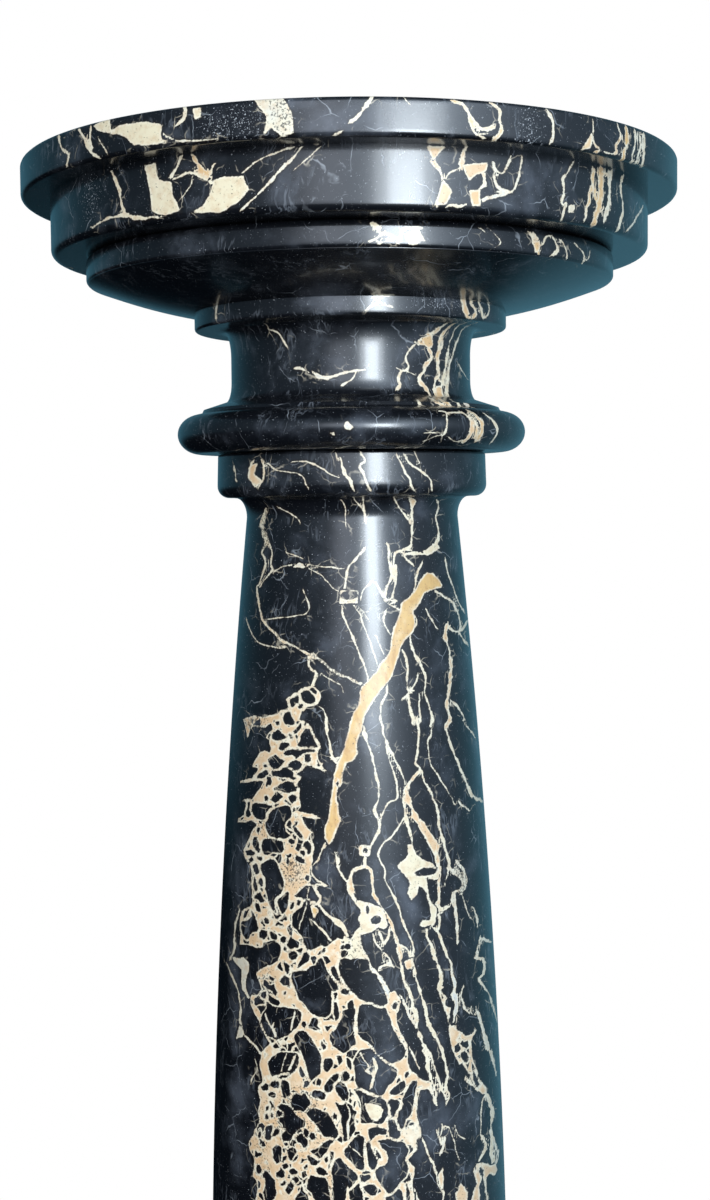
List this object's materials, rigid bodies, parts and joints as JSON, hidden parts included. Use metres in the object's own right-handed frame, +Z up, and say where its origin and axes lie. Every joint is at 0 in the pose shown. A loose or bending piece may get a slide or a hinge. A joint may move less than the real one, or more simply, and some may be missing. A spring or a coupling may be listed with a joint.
{
  "type": "pedestal column",
  "caption": "Black marble pedestal column with gold and cream veins: stepped round top for a bust or vase, ringed neck, tapering shaft and round stepped base",
  "frame": {"origin": "centre of the underside of the base, on the floor", "axes": "+Z up along the column's axis; -Y is the side the picture shows; +X is to the right seen from the front"},
  "size_m": [0.3, 0.3, 1.06],
  "materials": {
    "capital_marble": "polished black marble with cream and gold veins",
    "shaft_marble": "polished black marble with a dense cream and gold vein net",
    "base_marble": "polished black marble with few veins"
  },
  "bodies": {
    "root": {"capital": "capital_marble", "shaft": "shaft_marble", "base": "base_marble"}
  },
  "joints": []
}
